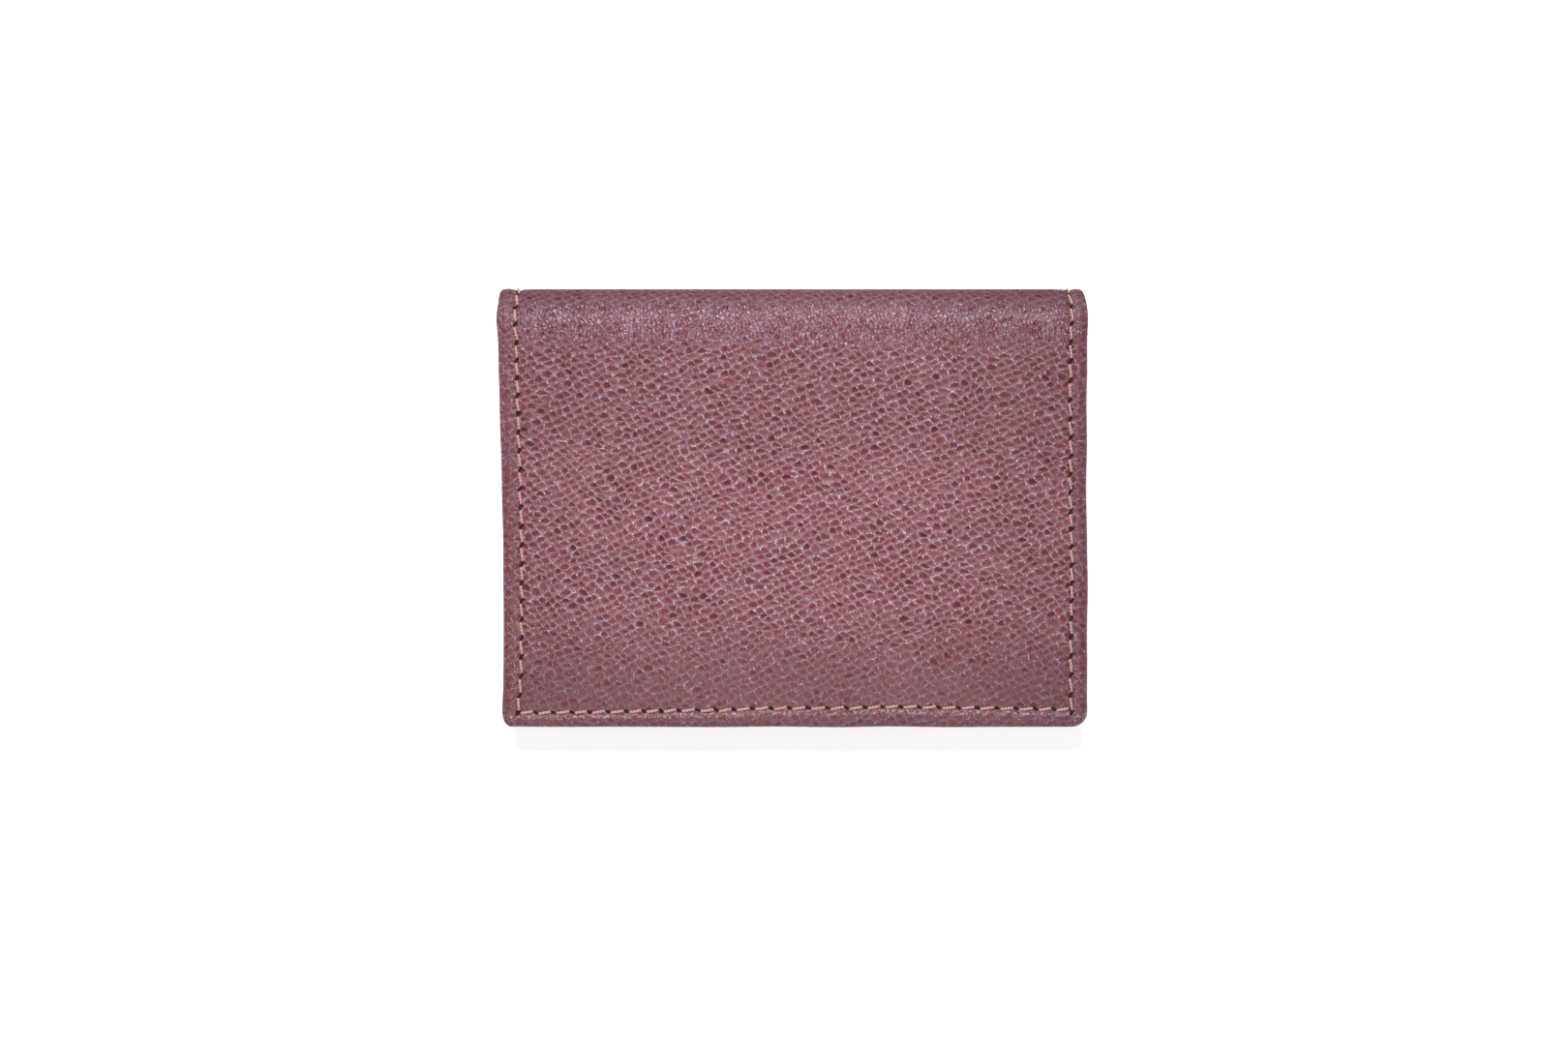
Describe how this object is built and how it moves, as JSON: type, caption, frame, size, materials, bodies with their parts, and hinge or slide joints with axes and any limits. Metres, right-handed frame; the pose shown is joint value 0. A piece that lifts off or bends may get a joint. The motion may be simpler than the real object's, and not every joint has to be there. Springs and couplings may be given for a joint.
{
  "type": "business card case",
  "caption": "Slim folding leather case with a stitched edge, whose gusseted pocket and flat inner slots hold business cards.",
  "frame": {"origin": "centre of the bottom of the closed case's bounding box, on the back cover's outer face", "axes": "+X to the right along the fold, +Y from the stitched free edge to the fold, +Z from the back cover to the front cover"},
  "size_m": [0.104, 0.078, 0.013],
  "materials": {
    "cover_leather": "pebbled grain, dusky mauve over burgundy, soft sheen",
    "pocket_leather": "pebbled grain, dusky mauve over burgundy, soft sheen",
    "gusset_leather": "thin skived leather, fine grain, matt",
    "lining": "fine ribbed lining cloth, matt",
    "board": "grey board, matt",
    "thread": "twisted polyester thread, dusty pink, soft sheen"
  },
  "bodies": {
    "back": {"back_cover_leather": "cover_leather", "back_stiffener_board": "board", "back_lining": "lining", "back_slip_pocket": "pocket_leather", "back_seam_thread": "thread", "left_gusset": "gusset_leather", "right_gusset": "gusset_leather"},
    "fold": {"fold_leather": "cover_leather", "fold_lining": "lining", "fold_seam_thread": "thread"},
    "front": {"front_cover_leather": "cover_leather", "front_stiffener_board": "board", "front_lining": "lining", "rear_card_slot": "pocket_leather", "front_card_slot": "pocket_leather", "front_seam_thread": "thread"},
    "pocket": {"pocket_front_leather": "pocket_leather", "pocket_front_lining": "lining", "left_pocket_seam_thread": "thread", "right_pocket_seam_thread": "thread"}
  },
  "joints": [
    {"name": "back_crease", "type": "hinge", "parent": "back", "child": "fold", "pos_m": [0, 0.03716, 0.00197], "axis": [-1, 0, 0], "range_deg": [0, 91.7]},
    {"name": "front_crease", "type": "hinge", "parent": "fold", "child": "front", "pos_m": [0, 0.03689, 0.0113], "axis": [-1, 0, 0], "range_deg": [0, 91.7]},
    {"name": "pocket_gape", "type": "hinge", "parent": "back", "child": "pocket", "pos_m": [0, -0.03695, 0.00264], "axis": [1, 0, 0], "range_deg": [0, 8], "deforming": ["left_gusset", "right_gusset"]}
  ],
  "couplings": [
    {"joint": "front_crease", "follows": "back_crease", "ratio": 1},
    {"joint": "pocket_gape", "follows": "back_crease", "ratio": 0.08724}
  ]
}
